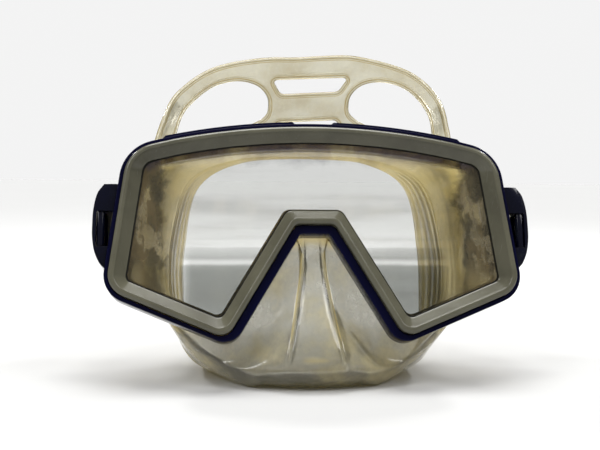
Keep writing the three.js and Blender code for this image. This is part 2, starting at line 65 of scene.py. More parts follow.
# The lens outline is an arched crown, leaning sides, bottoms that slope down to the nose, and
# the nose notch. Its corners have one radius at the frame's edge and one at the lens opening.
# INWARD and OUTWARD are the share of an offset that each stretch takes.
CROWN = {"height": 41.95, "radius": 283.0, "last": 58.0, "corner": 77.2}
SIDE = {"x": 81.4, "slope": -0.134}
BOTTOM = {"z": -62.4, "slope": 0.4165}
NOSE = {"x": 7.8, "slope": -0.598, "top": -0.2}
OUTER_RADIUS = {"upper": 15.5, "lower": 10.0, "nose": 6.5, "bridge": 3.5}
INNER_RADIUS = {"upper": 5.5, "lower": 2.8, "nose": 3.2, "bridge": 4.2}
INWARD = {"top": 0.92, "side": 1.08, "bottom": 1.03, "nose": 0.95, "bridge": 1.0}
OUTWARD = {"top": 1.0, "side": 0.95, "bottom": 1.0, "nose": 2.0, "bridge": 2.0}
BAND = 6.6  # the bezel's width, from its outer edge to the lens opening

ROLLER_X = 85.0
LEVER = {"x": 86.9, "y": 8.5}
SIGN = {"right": 1, "left": -1}


# ---- Curves ----
def unit(rows):
    return rows / np.linalg.norm(rows, axis=1)[:, None]


def edge_line(x, z, nx, nz, offset):
    """A line moved along its normal, as a point and a direction."""
    length = math.hypot(nx, nz)
    nx, nz = nx / length, nz / length
    return (x + nx * offset, z + nz * offset), (-nz, nx)


def meet(a, b):
    """The point where two lines cross."""
    (ax, az), (adx, adz) = a
    (bx, bz), (bdx, bdz) = b
    t = ((bx - ax) * bdz - (bz - az) * bdx) / (adx * bdz - adz * bdx)
    return np.array((ax + adx * t, az + adz * t))


def fillet(before, corner, after, radius, steps):
    """Points of an arc of that radius that rounds a corner."""
    corner = np.asarray(corner, float)
    a, b = unit(np.array([before, after], float) - corner)
    half = math.acos(max(-1, min(1, float(a @ b)))) / 2
    middle = a + b
    centre = corner + middle * (radius / math.sin(half) / np.linalg.norm(middle))
    start = corner + a * (radius / math.tan(half)) - centre
    end = corner + b * (radius / math.tan(half)) - centre
    first = math.atan2(start[1], start[0])
    turn = math.atan2(end[1], end[0]) - first
    turn = math.atan2(math.sin(turn), math.cos(turn))
    angles = [first + turn * i / steps for i in range(steps + 1)]
    return [centre + radius * np.array((math.cos(t), math.sin(t))) for t in angles]


def rounded(points, radii, steps=4):
    """A closed outline with its corners rounded."""
    out = []
    count = len(points)
    for i, (point, radius) in enumerate(zip(points, radii)):
        if radius:
            out += fillet(points[i - 1], point, points[(i + 1) % count], radius, steps)
        else:
            out.append(np.array(point, float))
    return np.array(out)


def smooth(t):
    t = np.clip(t, 0.0, 1.0)
    return t * t * (3 - 2 * t)


def crown_height(x, offset):
    return CROWN["height"] - CROWN["radius"] + math.sqrt((CROWN["radius"] + offset) ** 2 - x * x)


def corner_radius(name, offset):
    if offset > 0:
        sign = -1 if name == "bridge" else 1
        return max(OUTER_RADIUS[name] + sign * offset, 1.0)
    share = min(-offset / BAND, 1.0)
    return OUTER_RADIUS[name] + (INNER_RADIUS[name] - OUTER_RADIUS[name]) * share


KEYS = {}  # which point of an outline is at the middle of each stretch


def half_outline(offset):
    """The right half of the lens outline, from the top middle round to the nose bridge."""
    factor = INWARD if offset < 0 else OUTWARD
    top = offset * factor["top"]
    side = edge_line(SIDE["x"], 0, 1, -SIDE["slope"], offset * factor["side"])
    bottom = edge_line(0, BOTTOM["z"], BOTTOM["slope"], -1, offset * factor["bottom"])
    nose = edge_line(NOSE["x"], 0, -1, NOSE["slope"], offset * factor["nose"])
    bridge = edge_line(0, NOSE["top"], 0, -1, offset * factor["bridge"])
    crown = [np.array((x, crown_height(x, top))) for x in np.linspace(0, CROWN["last"], 16)]
    last = crown[-1]
    corner = np.array((CROWN["corner"], crown_height(CROWN["corner"], top)))
    middle = np.array((0.0, bridge[0][1]))
    corners = [last, meet((last, corner - last), side), meet(side, bottom), meet(bottom, nose),
               meet(nose, bridge), middle]
    parts = [("top", crown)]
    for i, (name, steps) in enumerate([("upper", 12), ("lower", 10), ("nose", 10), ("bridge", 8)]):
        parts.append((name, fillet(*corners[i:i + 3], corner_radius(name, offset), steps)))
    points = []
    for i, (name, stretch) in enumerate(parts):
        if i:
            between = 3 if name == "upper" else 9
            KEYS[name + "_edge"] = len(points) + between // 2
            gap = stretch[0] - points[-1]
            points += [points[-1] + gap * (k + 1) / (between + 1) for k in range(between)]
        KEYS[name] = len(points) + len(stretch) // 2
        points += list(stretch)
    for k in range(4):
        points.append(points[-1] + (middle - points[-1]) / (4 - k))
    KEYS["end"] = len(points) - 1
    return np.array(points)


def mirror_loop(half):
    """A whole loop from its right half; the first and last points lie on the middle plane."""
    left = half[1:-1][::-1].copy()
    left[:, 0] *= -1
    return np.vstack([half, left])


def outline(offset):
    return mirror_loop(half_outline(offset))


def outline_loop(offset, y):
    return np.insert(outline(offset), 1, y, axis=1)


def spline_point(a, b, c, d, t):
    """A point on the Catmull-Rom span from b to c."""
    return 0.5 * (2 * b + (c - a) * t + (2 * a - 5 * b + 4 * c - d) * t ** 2
                  + (3 * b - a - 3 * c + d) * t ** 3)


def catmull(points, samples):
    """A Catmull-Rom curve through the points, with the given number of samples a span."""
    points = np.asarray(points, float)
    ends = np.vstack([2 * points[0] - points[1], points, 2 * points[-1] - points[-2]])
    shares = np.arange(samples) / samples
    out = [spline_point(*ends[i:i + 4], t) for i in range(len(points) - 1) for t in shares]
    out.append(points[-1])
    return np.array(out)


# ---- Meshes ----
def linked(name, data):
    """A new object in the scene."""
    obj = bpy.data.objects.new(name, data)
    bpy.context.scene.collection.objects.link(obj)
    return obj


def piece(name, points, faces, material, sharp=35.0, to_row=True, marks=None):
    """A mesh drawn in the mask's frame, placed in the row frame. Each of its marks holds a value
    a point for what the material shows there, such as yellowing."""
    mesh = bpy.data.meshes.new(name)
    mesh.from_pydata([tuple(p) for p in points], [], [tuple(f) for f in faces])
    for mark, values in (marks or {}).items():
        layer = mesh.attributes.new(mark, "FLOAT", "POINT")
        layer.data.foreach_set("value", np.asarray(values, np.float32).ravel())
    if to_row:
        mesh.transform(TO_ROW)
    fix = bmesh.new()
    fix.from_mesh(mesh)
    bmesh.ops.remove_doubles(fix, verts=fix.verts, dist=1e-7)
    bmesh.ops.recalc_face_normals(fix, faces=fix.faces)
    fix.to_mesh(mesh)
    fix.free()
    mesh.shade_smooth()
    mesh.set_sharp_from_angle(angle=math.radians(sharp))
    mesh.materials.append(material)
    return linked(name, mesh)


def grid_faces(rows, columns, wrap_rows=False, wrap_columns=True):
    """Four-sided faces between the rows of a grid of points."""
    faces = []
    for i in range(rows if wrap_rows else rows - 1):
        for j in range(columns if wrap_columns else columns - 1):
            k = (j + 1) % columns
            n = (i + 1) % rows
            faces.append((i * columns + j, i * columns + k, n * columns + k, n * columns + j))
    return faces


def lofted(loops):
    """A closed mesh through loops of points, with a flat face on each end."""
    count = len(loops[0])
    faces = grid_faces(len(loops), count)
    faces += [tuple(range(count))[::-1], tuple(range((len(loops) - 1) * count, len(loops) * count))]
    return np.vstack(loops), faces


def ring_through(loops):
    """A closed ring through loops of points, with the last joined to the first."""
    return np.vstack(loops), grid_faces(len(loops), len(loops[0]), wrap_rows=True)


def ring_mesh(profile):
    """A ring whose section is a closed list of (offset from the outline, depth)."""
    return ring_through([outline_loop(offset, y) for offset, y in profile])


def prism_mesh(flat, axis, low, high):
    """A flat outline pushed along one axis."""
    flat = np.asarray(flat, float)
    return lofted([np.insert(flat, "xyz".index(axis), level, axis=1) for level in (low, high)])


def box_mesh(x0, x1, y0, y1, z0, z1):
    """A block between two values along each axis."""
    return prism_mesh([(x0, z0), (x1, z0), (x1, z1), (x0, z1)], "y", y0, y1)


def circle(x, y, radius, sides=24):
    return [(x + radius * math.cos(t), y + radius * math.sin(t))
            for t in np.linspace(0, 2 * math.pi, sides, endpoint=False)]


def turned(profile, centre, sides=40):
    """A body of revolution about an upright line in the mask's frame; profile is (radius, z)."""
    return ring_through([np.insert(circle(*centre, radius, sides), 2, z, axis=1)
                         for radius, z in profile])


def tube_mesh(path, radius, sides):
    """A round wire along a path, with closed ends."""
    never_along = (0.31, 0.2, 0.93)
    tangent = unit(np.gradient(path, axis=0))
    side = unit(np.cross(tangent, never_along))
    up = np.cross(side, tangent)
    angle = np.linspace(0, 2 * math.pi, sides, endpoint=False)[:, None]
    return lofted([p + radius * (np.cos(angle) * s + np.sin(angle) * u)
                   for p, s, u in zip(path, side, up)])


def joined(*meshes):
    """Several meshes as one."""
    points, faces, start = [], [], 0
    for p, f in meshes:
        points.append(np.asarray(p, float))
        faces += [tuple(i + start for i in face) for face in f]
        start += len(p)
    return np.vstack(points), faces


def on_side(side, mesh):
    """A mesh drawn for the right side, mirrored for the left."""
    points, faces = mesh
    if side == "left":
        return points * (-1, 1, 1), [face[::-1] for face in faces]
    return points, faces


def modified(obj, kind, **settings):
    """Makes a modifier's result the object's mesh."""
    modifier = obj.modifiers.new(kind, kind)
    for key, value in settings.items():
        setattr(modifier, key, value)
    graph = bpy.context.evaluated_depsgraph_get()
    final = bpy.data.meshes.new_from_object(obj.evaluated_get(graph))
    obj.modifiers.clear()
    obj.data = final


def cut(obj, cutter, operation="DIFFERENCE"):
    """A boolean with another mesh, which it uses up."""
    modified(obj, "BOOLEAN", operation=operation, solver="EXACT", object=cutter)
    bpy.data.objects.remove(cutter)


def bevel(obj, width, segments):
    """Rounds the sharp edges of a moulded piece and shades it smooth."""
    modified(obj, "BEVEL", width=width * MM, segments=segments, limit_method="ANGLE",
             angle_limit=math.radians(30))
    obj.data.shade_smooth()
    obj.data.set_sharp_from_angle(angle=math.radians(48))


# ---- Materials ----
class Nodes:
    """A short way to write the nodes of a new material, or of the world."""

    def __init__(self, name, owners=bpy.data.materials):
        self.owner = owners.new(name)
        self.owner.use_nodes = True
        self.tree = self.owner.node_tree
        self.tree.nodes.clear()

    def add(self, kind, inputs=(), **settings):
        node = self.tree.nodes.new("ShaderNode" + kind)
        for key, value in settings.items():
            setattr(node, key, value)
        for key, value in dict(inputs).items():
            if isinstance(value, bpy.types.NodeSocket):
                self.tree.links.new(value, node.inputs[key])
            else:
                node.inputs[key].default_value = value
        return node

    def math(self, operation, a, b=0.0, clamp=False):
        return self.add("Math", {0: a, 1: b}, operation=operation, use_clamp=clamp).outputs[0]

    def plus(self, a, b, clamp=False):
        return self.math("ADD", a, b, clamp)

    def times(self, a, b):
        return self.math("MULTIPLY", a, b)

    def band(self, value, low, high):
        """0 below low, 1 above high, smooth between; with low above high it falls from 1 to 0."""
        node = self.add("MapRange", {"Value": value, "From Min": low, "From Max": high},
                        interpolation_type="SMOOTHSTEP")
        return node.outputs[0]

    def spread(self, value, low, high):
        """A value from 0 to 1, spread evenly over low to high."""
        return self.add("MapRange", {"Value": value, "To Min": low, "To Max": high}).outputs[0]

    def mark(self, name):
        """What the piece's own marks say at each point."""
        return self.add("Attribute", attribute_name=name).outputs["Fac"]

    def mix(self, factor, a, b):
        """A colour between a and b."""
        a, b = ((*c, 1.0) if isinstance(c, tuple) else c for c in (a, b))
        return self.add("Mix", {0: factor, 6: a, 7: b}, data_type="RGBA").outputs[2]

    def layers(self, factor, a, b):
        """A shader between the shaders a and b."""
        return self.add("MixShader", {0: factor, 1: a.outputs[0], 2: b.outputs[0]})

    def place(self):
        """Where a point is in the row frame, in metres."""
        return self.add("TexCoord").outputs["Object"]

    def noise(self, scale, detail, rough=0.5, stretch=None):
        at = self.place()
        if stretch:
            at = self.add("Mapping", {"Vector": at, "Scale": stretch}).outputs[0]
        inputs = {"Vector": at, "Scale": scale, "Detail": detail, "Roughness": rough}
        return self.add("TexNoise", inputs).outputs["Fac"]

    def bump(self, height, strength, distance):
        inputs = {"Height": height, "Strength": strength, "Distance": distance}
        return self.add("Bump", inputs).outputs[0]

    def finish(self, shader, output="OutputMaterial"):
        self.add(output, {"Surface": shader.outputs[0]})
        return self.owner


WHITE = (1, 1, 1, 1)


def moulded(name, colour, worn, roughness, grain, scuff, gloss):
    """Moulded plastic: faint mottling, scuffed convex edges, fine scratches and dust."""
    n = Nodes(name)
    darker, lighter = (tuple(c * share for c in colour) for share in (0.86, 1.1))
    shade = n.mix(n.band(n.noise(60, 5), 0.35, 0.65), darker, lighter)
    edge = n.band(n.add("NewGeometry").outputs["Pointiness"], 0.53, 0.62)
    patchy = n.band(n.noise(240, 6, 0.65), 0.45, 0.62)
    wear = n.times(n.times(edge, patchy), scuff)
    scratches = n.band(n.noise(900, 2, 0.5, stretch=(1.0, 6.0, 0.12)), 0.66, 0.74)
    dust = n.times(n.band(n.noise(1700, 2, 0.6), 0.70, 0.78), 0.35)
    tint = n.mix(n.math("MAXIMUM", wear, n.times(dust, scuff)), shade, worn)
    rough = n.spread(n.noise(130, 5), roughness - 0.05, roughness + 0.08)
    rough = n.plus(rough, n.times(scratches, 0.2), clamp=True)
    height = n.plus(n.noise(1400, 3), n.times(scratches, -1.5))
    shader = n.add("BsdfPrincipled", {
        "Base Color": tint, "Roughness": rough, "IOR": 1.5, "Specular IOR Level": gloss,
        "Normal": n.bump(height, grain, 0.06 * MM)})
    return n.finish(shader)


def steel():
    """Bright drawn wire with fine lines round it and a little tarnish."""
    n = Nodes("steel_wire")
    lines = n.noise(1500, 3, 0.6, stretch=(0.1, 0.1, 3.0))
    stain = n.band(n.noise(300, 5), 0.52, 0.7)
    colour = n.mix(stain, (0.62, 0.61, 0.58), (0.3, 0.22, 0.14))
    shader = n.add("BsdfPrincipled", {
        "Base Color": colour, "Metallic": 1.0, "Roughness": n.spread(lines, 0.18, 0.42),
        "Normal": n.bump(lines, 0.15, 0.02 * MM)})
    return n.finish(shader)


AMBER = (0.98, 0.92, 0.72)  # how much light aged clear plastic lets through


def clear_film(n, body, body_amount, tint, gloss_rough, normal, glow):
    """Clear soft plastic: light passes through, a milky part scatters it, and the skin is glossy.
    glow is the share of the scattered light that comes out on the far side."""
    through = n.add("BsdfTransparent", {"Color": tint})
    front = n.add("BsdfDiffuse", {"Color": body, "Normal": normal})
    behind = n.add("BsdfTranslucent", {"Color": body, "Normal": normal})
    film = n.layers(body_amount, through, n.layers(glow, front, behind))
    gloss = n.add("BsdfGlossy", {"Color": WHITE, "Roughness": gloss_rough, "Normal": normal})
    return n.layers(n.add("Fresnel", {"IOR": 1.42, "Normal": normal}).outputs[0], film, gloss)


def clear_plastic(name, pale, aged, tint, amount, rim, glow, speck=0.0):
    """Flexible clear PVC. The piece's own marks say where it has yellowed ("age") and where
    it has gone cloudy ("milk"); both are broken up by patches and streaks."""
    n = Nodes(name)
    facing = n.add("LayerWeight", {"Blend": 0.3}).outputs["Facing"]
    patch = n.band(n.noise(45, 5, 0.6), 0.32, 0.7)
    streak = n.band(n.noise(420, 4, 0.6, stretch=(1, 1, 0.3)), 0.42, 0.75)
    marked = n.times(n.mark("age"), n.spread(n.noise(120, 4), 0.55, 1.25))
    yellow = n.math("MAXIMUM", n.times(patch, 0.35), marked, clamp=True)
    body = n.mix(n.band(yellow, 0.0, 0.65), pale, aged)
    body = n.mix(n.band(yellow, 0.7, 1.0), body, (0.26, 0.18, 0.06))
    thick = n.plus(n.times(facing, rim), amount)
    thick = n.plus(thick, n.times(n.mark("milk"), n.plus(n.times(patch, 0.5), 0.7)))
    thick = n.plus(thick, n.times(streak, 0.06))
    thick = n.plus(thick, n.times(yellow, 0.22), clamp=True)
    if speck:
        dots = n.band(n.noise(1100, 3, 0.7), 0.72, 0.78)
        dots = n.times(n.times(dots, n.band(n.noise(70, 3), 0.5, 0.62)), speck)
        body = n.mix(dots, body, (0.03, 0.025, 0.02))
        thick = n.plus(thick, dots, clamp=True)
    ripple = n.plus(n.noise(90, 3), n.times(n.noise(600, 4), 0.12))
    normal = n.bump(ripple, 0.3, 0.5 * MM)
    rough = n.spread(n.noise(150, 4), 0.05, 0.18)
    tinted = n.mix(n.band(yellow, 0.3, 0.75), tint, tuple(a * b for a, b in zip(tint, AMBER)))
    return n.finish(clear_film(n, body, thick, tinted, rough, normal, glow))


def lens_glass():
    """Flat glass with dried water marks. Stains lie near its ends and along its top. Low down in the
    middle a painted shade lets less light through, a painted shadow of the table behind, with two
    pale bands left in it. It is painted near-black along a thin line where the piece marks it, a
    painted shadow of the gap between the bezel and the lens."""
    n = Nodes("lens_glass")
    split = n.add("SeparateXYZ", {"Vector": n.place()})
    x, z = n.math("ABSOLUTE", split.outputs[0]), split.outputs[2]
    wobble = n.times(n.math("SUBTRACT", n.noise(75, 6, 0.7), 0.5), 18 * MM)
    height = n.plus(z, n.times(wobble, 0.8))
    smear = n.band(n.noise(75, 6, 0.62, stretch=(1.3, 1, 0.5)), 0.44, 0.50)
    brown = n.mix(n.band(n.noise(90, 5, 0.6, stretch=(1, 1, 0.4)), 0.42, 0.6),
                  (0.085, 0.075, 0.048), (0.16, 0.125, 0.066))
    dark = n.mix(n.band(height, 88 * MM, 96 * MM), brown, (0.10, 0.085, 0.13))
    stain = n.mix(smear, (0.44, 0.38, 0.24), dark)

    lower = n.band(height, 56 * MM, 48 * MM)
    smear = n.times(smear, n.math("SUBTRACT", 1.0, n.times(lower, 0.6)))
    ends = n.band(n.plus(x, wobble), 60 * MM, 65 * MM)
    ends = n.times(ends, n.plus(n.times(smear, 0.52), 0.28))
    edge = n.times(n.band(x, 69 * MM, 74.5 * MM), 0.35)
    upper = n.times(n.band(height, 91 * MM, 99 * MM), 0.34)
    drips = n.times(n.band(n.noise(380, 5, 0.6, stretch=(0.4, 1, 2.2)), 0.5, 0.8), 0.05)
    streaks = n.times(n.band(n.noise(60, 3, 0.5, stretch=(0.12, 1, 1.5)), 0.45, 0.7), 0.16)
    dirt = n.math("MAXIMUM", n.math("MAXIMUM", ends, edge), upper)
    dirt = n.plus(dirt, n.plus(drips, streaks), clamp=True)
    # Painted shadow: a thin near-black line along the bezel's inner edge, standing for the shaded gap
    # between the bezel and the lens.
    gap_shadow = n.band(n.mark("gap_shadow"), 0.25, 0.75)
    stain = n.mix(gap_shadow, stain, (0.02, 0.019, 0.015))
    dirt = n.math("MAXIMUM", dirt, gap_shadow)

    # Painted shade: low in the middle the glass lets less light through, a painted shadow of the table
    # behind; the two pale bands below are gaps left in that painted shade.
    level = n.plus(z, n.times(wobble, 0.06))
    painted_shade = n.times(n.band(level, 64 * MM, 46 * MM), n.band(x, 58 * MM, 50 * MM))
    for low in (50.5, 57.8):
        pale = n.times(n.band(level, low * MM, (low + 1.2) * MM),
                       n.band(level, (low + 3.6) * MM, (low + 1.8) * MM))
        painted_shade = n.math("SUBTRACT", painted_shade, n.times(pale, 0.55), clamp=True)
    clear = n.add("BsdfTransparent", {"Color": n.mix(painted_shade, (0.88, 0.885, 0.875), (0.50, 0.51, 0.495))})
    front = n.add("BsdfDiffuse", {"Color": stain})
    behind = n.add("BsdfTranslucent", {"Color": stain})
    seen = n.layers(dirt, clear, n.layers(0.5, front, behind))
    gloss = n.add("BsdfGlossy", {"Color": WHITE, "Roughness": 0.03})
    return n.finish(n.layers(n.add("Fresnel", {"IOR": 1.45}).outputs[0], seen, gloss))


def floor_material():
    n = Nodes("pale_floor")
    tone = n.mix(n.noise(6, 4), (0.460, 0.460, 0.456), (0.474, 0.474, 0.470))
    inputs = {"Base Color": tone, "Roughness": 0.6, "Specular IOR Level": 0.0}
    return n.finish(n.add("BsdfPrincipled", inputs))


NAVY = moulded("navy_plastic", colour=(0.0014, 0.0016, 0.015), worn=(0.016, 0.02, 0.03),
               roughness=0.15, grain=0.06, scuff=0.3, gloss=0.14)
BUCKLE = moulded("buckle_plastic", colour=(0.0016, 0.0020, 0.0075), worn=(0.02, 0.024, 0.024),
                 roughness=0.12, grain=0.05, scuff=0.3, gloss=0.32)
OLIVE = moulded("olive_plastic", colour=(0.080, 0.077, 0.053), worn=(0.15, 0.145, 0.11),
                roughness=0.17, grain=0.08, scuff=0.12, gloss=0.42)
STEEL = steel()
GLASS = lens_glass()
SKIRT = clear_plastic("clear_skirt_pvc", pale=(0.44, 0.435, 0.38), aged=(0.93, 0.80, 0.42),
                      tint=(0.86, 0.855, 0.81), amount=0.17, rim=0.10, glow=0.72)
STRAP = clear_plastic("clear_strap_pvc", pale=(0.78, 0.765, 0.64), aged=(0.52, 0.44, 0.24),
                      tint=(0.965, 0.955, 0.91), amount=0.42, rim=0.22, glow=0.5, speck=0.9)


# ---- Bezel, lens and main frame ----
def bezel_ring():
    """The clamping ring: a crest outside, and a face that slopes down to the lens."""
    corners = [(-0.3, 2.2), (-0.3, -2.45), (-1.3, -3.0), (-2.5, -3.0), (-3.1, -2.2), (-6.25, 1.25),
               (-BAND, 1.5), (-BAND, 2.2)]
    radii = [0, 0.75, 0.9, 0.5, 0.7, 0.3, 0.15, 0]
    obj = piece("bezel_ring_shell", *ring_mesh(rounded(corners, radii)), OLIVE)
    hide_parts("bezel_ring")
    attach(obj, "mask")


def lens():
    """The flat pane. A thin near-black line is painted on it just inside the bezel, a painted shadow
    of the gap between the bezel and the lens. Each level is (offset, depth, 1 where that painted
    shadow is)."""
    levels = [(-7.5, 2.5, 0.0), (-6.95, 2.5, 1.0), (-0.95, 2.5, 1.0), (-0.6, 2.85, 0.0),
              (-0.6, 5.35, 0.0), (-0.95, 5.7, 0.0)]
    loops = [outline_loop(offset, y) for offset, y, _ in levels]
    # Where the painted shadow line of the gap at the bezel's inner edge lies.
    gap_shadow = np.repeat([dark for _, _, dark in levels], len(loops[0]))
    obj = piece("lens_pane", *lofted(loops), GLASS, sharp=20, marks={"gap_shadow": gap_shadow})
    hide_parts("lens")
    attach(obj, "mask")


def brow_rail():
    """The right raised rail on the frame's top edge, with ends that taper down."""
    taper_length = 1.4
    xs = np.linspace(7.3, 63.2, 40)
    count = len(xs)
    taper = np.clip(np.minimum(xs - xs[0], xs[-1] - xs) / taper_length, 0, 1) ** 0.5
    rows = [[(x, y, crown_height(x, 1.55) + rise * k) for x, k in zip(xs, taper)]
            for y, rise in ((0.9, 0.3), (0.95, 1.05), (1.15, 1.25), (8.4, 1.25), (9.2, 0.9), (9.6, 0.3))]
    rows += [[(x, y, crown_height(x, 1.7) - 0.6) for x in xs] for y in (9.6, 0.9)]
    faces = grid_faces(len(rows), count, wrap_rows=True, wrap_columns=False)
    faces.append(tuple(i * count for i in range(len(rows))))
    faces.append(tuple(i * count + count - 1 for i in range(len(rows)))[::-1])
    return np.vstack(rows), faces


def main_frame():
    """The frame's outer wall with its rear flange, and the two brow rails on top."""
    corners = [(0.0, 0.1), (1.7, 0.1), (1.7, 10.5), (-2.8, 10.5), (-2.8, 8.6), (0.0, 8.6)]
    radii = [0.15, 0.25, 0.4, 0.3, 0.2, 0]
    obj = piece("main_frame_shell", *ring_mesh(rounded(corners, radii)), NAVY)
    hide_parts("main_frame")
    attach(obj, "mask")
    for side in ("right", "left"):
        rail = piece("brow_rail_" + side, *on_side(side, brow_rail()), NAVY, sharp=20)
        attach(rail, "mask")


# ---- Skirt ----
# Each station lists points for: top, top side, upper corner, side, lower corner, bottom,
# nose corner, pocket side, ridge and middle, from the frame back to the face seal.
STATIONS = [
    [(0, 20, 39.6), (35, 20, 37.8), (64, 20, 27), (70.5, 20, 0), (71, 20, -23),
     (55, 19, -42), (32, 13, -54), (13.5, 10.2, -36), (5.2, 7.5, -28), (0, 7.2, -28)],
    [(0, 26, 40.2), (33.5, 26, 38.4), (60, 26, 27.5), (66.5, 26, 0), (66.5, 26, -24),
     (54, 25, -45.5), (31, 11.5, -59), (17, 5.2, -57.5), (10.5, 1.4, -56), (0, 1, -56)],
    [(0, 33, 40.7), (32, 33, 39), (56, 33, 28), (63, 33, 0), (62.5, 33, -25),
     (52.5, 33, -48.5), (30, 22, -63.4), (20, 19, -64.4), (11, 16, -65.1), (0, 15, -65.3)],
    [(0, 40, 41.2), (30, 40, 39.6), (52.5, 41, 28.5), (60.5, 41, 0), (60, 41, -26),
     (52, 42, -50), (34, 40, -59.0), (21, 38, -59.6), (10.5, 37, -59.8), (0, 37, -59.8)],
    [(0, 48, 42.6), (29, 50, 41), (49.5, 56, 29.5), (56, 64, 1), (56, 64, -24),
     (53.5, 61, -43.5), (41, 57, -54.4), (25, 52, -55.8), (12, 49, -56.6), (0, 48, -56.8)],
]
SKIRT_WALL = 1.8
SEAL_REACH = 1.8  # how far the seal's rounded edge runs on, in steps of the mesh
SPAN_STEPS = 10  # steps of the mesh between two sections
NOSE_COLUMNS = 4  # how many times finer the mesh is round the nose pocket
RIBBED = 4.4  # the section where the ribs round the face opening begin
RIB_STEPS = 3  # how many times finer the mesh is from there on


def station_loop(keys):
    """A smooth loop through the points of a station."""
    places = [0, KEYS["top"] + 6, KEYS["upper"], KEYS["lower_edge"], KEYS["lower"], KEYS["nose_edge"],
              KEYS["nose"], KEYS["bridge_edge"], KEYS["bridge"], KEYS["end"]]
    keys = np.array(keys, float)
    flip = np.array((-1, 1, 1))
    ends = np.vstack([keys[1] * flip, keys, keys[-2] * flip])
    half = []
    for i in range(places[-1] + 1):
        k = min(max(j for j, p in enumerate(places) if p <= i), len(places) - 2)
        t = (i - places[k]) / (places[k + 1] - places[k])
        half.append(spline_point(*ends[k:k + 4], t))
    half = np.array(half)
    half[[0, -1], 0] = 0
    return mirror_loop(half)


def neck_loop(main, nose, y_main, y_nose):
    """A loop inside the frame, with its own offset and depth round the nose notch."""
    wide, notch = half_outline(main), half_outline(nose)
    low, high = KEYS["nose_edge"] + 4, KEYS["bridge_edge"]
    t = smooth((np.arange(len(wide)) - low) / (high - low))[:, None]
    flat = wide + (notch - wide) * t
    depth = y_main + (y_nose - y_main) * t[:, 0]
    return mirror_loop(np.column_stack([flat[:, 0], depth, flat[:, 1]]))


def nose_relief(points):
    """The nose pocket's raised tip with the grooves beside it: how far it stands forward, and
    how yellow its grooves and lower lip are."""
    x, y, z = np.abs(points[..., 0]), points[..., 1], points[..., 2]
    width = np.interp(z, (-57, -50, -18, -13, -5), (10.9, 9.8, 4.5, 4.1, 3.9))  # half the tip's width
    here = smooth((15 - y) / 2) * smooth((15.5 - x) / 2)
    on = here * smooth((-2.5 - z) / 3) * smooth((z + 57.5) / 2.5)
    tip = 0.5 * smooth((width + 0.3 - x) / 0.6)
    step = 0.9 * smooth((-13.5 - z) / 1.6) * smooth((width + 0.3 - x) / 0.6)
    groove = np.exp(-((x - width - 0.9) / 0.42) ** 2)
    stained = groove * smooth((-7 - z) / 3) * smooth((z + 53) / 8) * (z < 0)
    lip = np.exp(-((z + 55.9 - (x / 9) ** 2) / 0.45) ** 2) * smooth((width + 1.5 - x) / 1.5)
    return on * (tip + step - 0.3 * groove), here * np.maximum(0.8 * stained, 0.6 * lip)


def fold_lift(along):
    """Moulded ribs that run round the face opening; along counts the skirt's sections."""
    share = smooth((along - RIBBED) / 0.3) * smooth((6.02 - along) / 0.15)
    wave = np.cos(along * 2 * math.pi / 0.30)
    return 0.22 * share * wave, share * smooth((-wave - 0.6) / 0.3)


def refined(loops, first, last, times):
    """More columns between two columns of the loops, on smooth curves through them."""
    part = loops[:, first:last + 1].transpose(1, 0, 2)
    dense = catmull(part.reshape(len(part), -1), times)
    dense = dense.reshape(len(dense), loops.shape[0], 3).transpose(1, 0, 2)
    return np.concatenate([loops[:, :first], dense, loops[:, last + 1:]], axis=1)


def skirt_loops():
    """The skirt's outer surface as loops, and how many sections back each loop is."""
    control = [neck_loop(-4.2, -4.2, 11.8, 11.8), neck_loop(-5.2, 1.9, 15, 12.4)]
    control += [station_loop(keys) for keys in STATIONS]
    control = np.array(control)
    count = control.shape[1]
    fine = RIB_STEPS * SPAN_STEPS
    loops = np.array([catmull(control[:, j], fine) for j in range(count)])
    along = np.arange(loops.shape[1]) / fine
    kept = [i for i, at in enumerate(along) if i % RIB_STEPS == 0 or at > RIBBED]
    first = KEYS["nose"]
    last = 2 * KEYS["end"] - first
    return along[kept], refined(loops.transpose(1, 0, 2)[kept], first, last, NOSE_COLUMNS)


def loop_normals(loops):
    around = np.roll(loops, -1, axis=1) - np.roll(loops, 1, axis=1)
    along = np.gradient(loops, axis=0)
    normal = np.cross(around, along)
    return normal / np.maximum(np.linalg.norm(normal, axis=2), 1e-9)[:, :, None]


def rest_on_floor(points, clear=0.02):
    """Lifts what lies below the floor up onto it, as soft plastic flattens there."""
    up = np.array((0, -math.sin(LEAN), math.cos(LEAN)))
    below = np.minimum(points @ up + ORIGIN[2] / MM - clear, 0)
    return points - below[..., None] * up


def skirt_marks(loops, along, fold, nose):
    """Where the skirt is yellow and where it is cloudy."""
    y, z = loops[..., 1], loops[..., 2]
    below = smooth((-38 - z) / 8)
    pocket = smooth((40 - np.abs(loops[..., 0])) / 10) * smooth((-4 - z) / 8)
    side = smooth((y - 9) / 4) * (1 - below) * (1 - pocket)
    rim = smooth((along - 5.86) / 0.1) + 0 * y
    age = np.maximum.reduce([nose, 0.85 * fold + 0 * y, 0.9 * rim, 0.7 * side, 0.12 * below])
    milk = 0.13 * side + 0.27 * below + 0.26 * pocket * (1 - 0.7 * below)
    return age, milk


